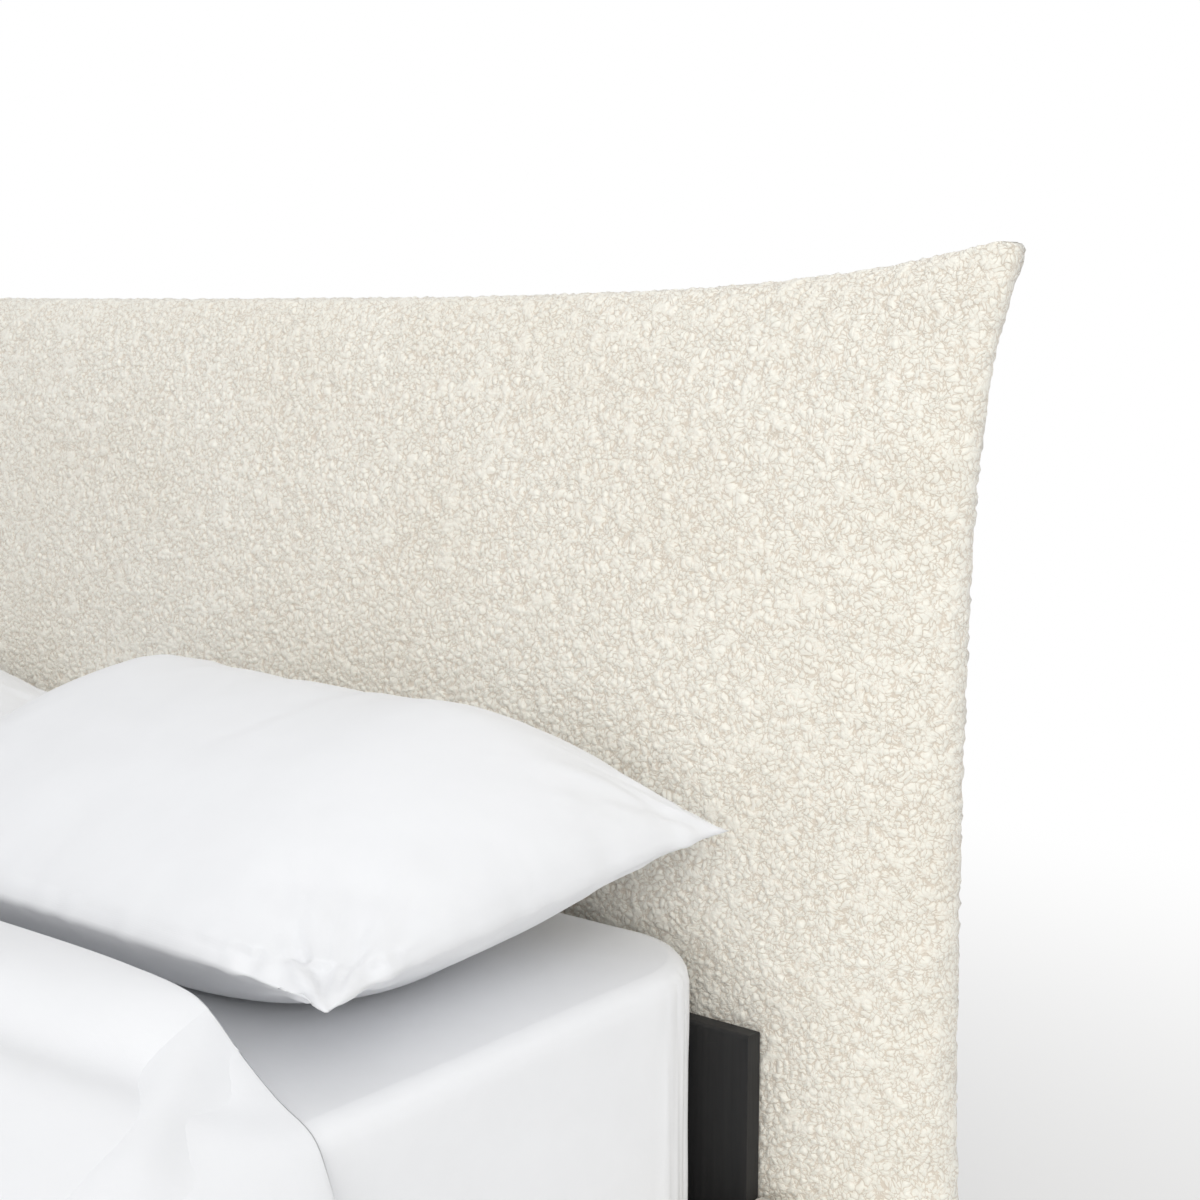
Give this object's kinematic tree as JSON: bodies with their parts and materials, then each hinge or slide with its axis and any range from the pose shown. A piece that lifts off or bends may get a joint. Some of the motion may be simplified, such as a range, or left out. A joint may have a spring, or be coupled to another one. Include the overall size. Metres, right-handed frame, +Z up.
{
  "type": "upholstered headboard bed",
  "caption": "Low upholstered bed with a tall pillow-shaped boucle headboard, slatted base, mattress, fitted sheet, pillows and a duvet.",
  "frame": {"origin": "on the floor, under the middle of the whole bed", "axes": "+X across the bed towards the right-hand side seen from its foot, +Y from the foot to the headboard, +Z up"},
  "size_m": [1.9222, 2.238, 1.1891],
  "materials": {
    "boucle": "curly ivory pile, matt",
    "foam": "open-cell foam",
    "plywood": "raw plywood",
    "black_wood": "black stain, matt",
    "pine": "planed softwood",
    "slat_birch": "laminated birch, satin",
    "webbing": "woven webbing",
    "zinc_steel": "zinc plated",
    "zinc_plate": "zinc plated",
    "black_steel": "black powder coat",
    "nylon": "moulded nylon",
    "mattress_ticking": "quilted ticking",
    "sheet_cotton": "smooth cotton",
    "duvet_cotton": "smooth cotton",
    "pillow_cotton": "smooth cotton",
    "filling": "soft fibre"
  },
  "bodies": {
    "frame": {"beam_hangers": "zinc_plate", "beam_screws": "zinc_steel", "centre_beam": "pine", "centre_leg_1": "black_steel", "centre_leg_2": "black_steel", "centre_leg_3": "black_steel", "centre_leg_foot_1": "nylon", "centre_leg_foot_2": "nylon", "centre_leg_foot_3": "nylon", "corner_bolts": "zinc_steel", "corner_brackets": "zinc_plate", "foot_leg_glides": "nylon", "foot_leg_left": "black_wood", "foot_leg_right": "black_wood", "foot_rail": "plywood", "foot_rail_cover": "boucle", "foot_rail_foam": "foam", "head_panel": "black_wood", "headboard_arm_left": "black_wood", "headboard_arm_right": "black_wood", "headboard_board": "plywood", "headboard_bolts": "zinc_steel", "headboard_cover": "boucle", "headboard_foam": "foam", "headboard_post_left": "black_wood", "headboard_post_right": "black_wood", "headboard_tee_nuts": "zinc_steel", "ledge_screws": "zinc_steel", "leg_bolts": "zinc_steel", "post_glides": "nylon", "side_rail_cover_left": "boucle", "side_rail_cover_right": "boucle", "side_rail_foam_left": "foam", "side_rail_foam_right": "foam", "side_rail_left": "plywood", "side_rail_right": "plywood", "slat_01": "slat_birch", "slat_02": "slat_birch", "slat_03": "slat_birch", "slat_04": "slat_birch", "slat_05": "slat_birch", "slat_06": "slat_birch", "slat_07": "slat_birch", "slat_08": "slat_birch", "slat_09": "slat_birch", "slat_10": "slat_birch", "slat_11": "slat_birch", "slat_12": "slat_birch", "slat_ledge_left": "pine", "slat_ledge_right": "pine", "slat_tapes": "webbing"},
    "mattress": {"mattress": "mattress_ticking", "fitted_sheet": "sheet_cotton"},
    "duvet": {"duvet_filling": "filling", "duvet_cover": "duvet_cotton"},
    "pillow_right": {"pillow_filling_right": "filling", "pillow_case_right": "pillow_cotton"},
    "pillow_left": {"pillow_filling_left": "filling", "pillow_case_left": "pillow_cotton"}
  },
  "joints": [
    {"name": "mattress_lift", "type": "slide", "parent": "frame", "child": "mattress", "axis": [0, 0, 1], "range_m": [0, 0.95]},
    {"name": "duvet_lift", "type": "slide", "parent": "mattress", "child": "duvet", "axis": [0, 0, 1], "range_m": [0, 0.5]},
    {"name": "pillow_right_lift", "type": "slide", "parent": "mattress", "child": "pillow_right", "axis": [0, 0, 1], "range_m": [0, 0.4]},
    {"name": "pillow_left_lift", "type": "slide", "parent": "mattress", "child": "pillow_left", "axis": [0, 0, 1], "range_m": [0, 0.4]}
  ]
}
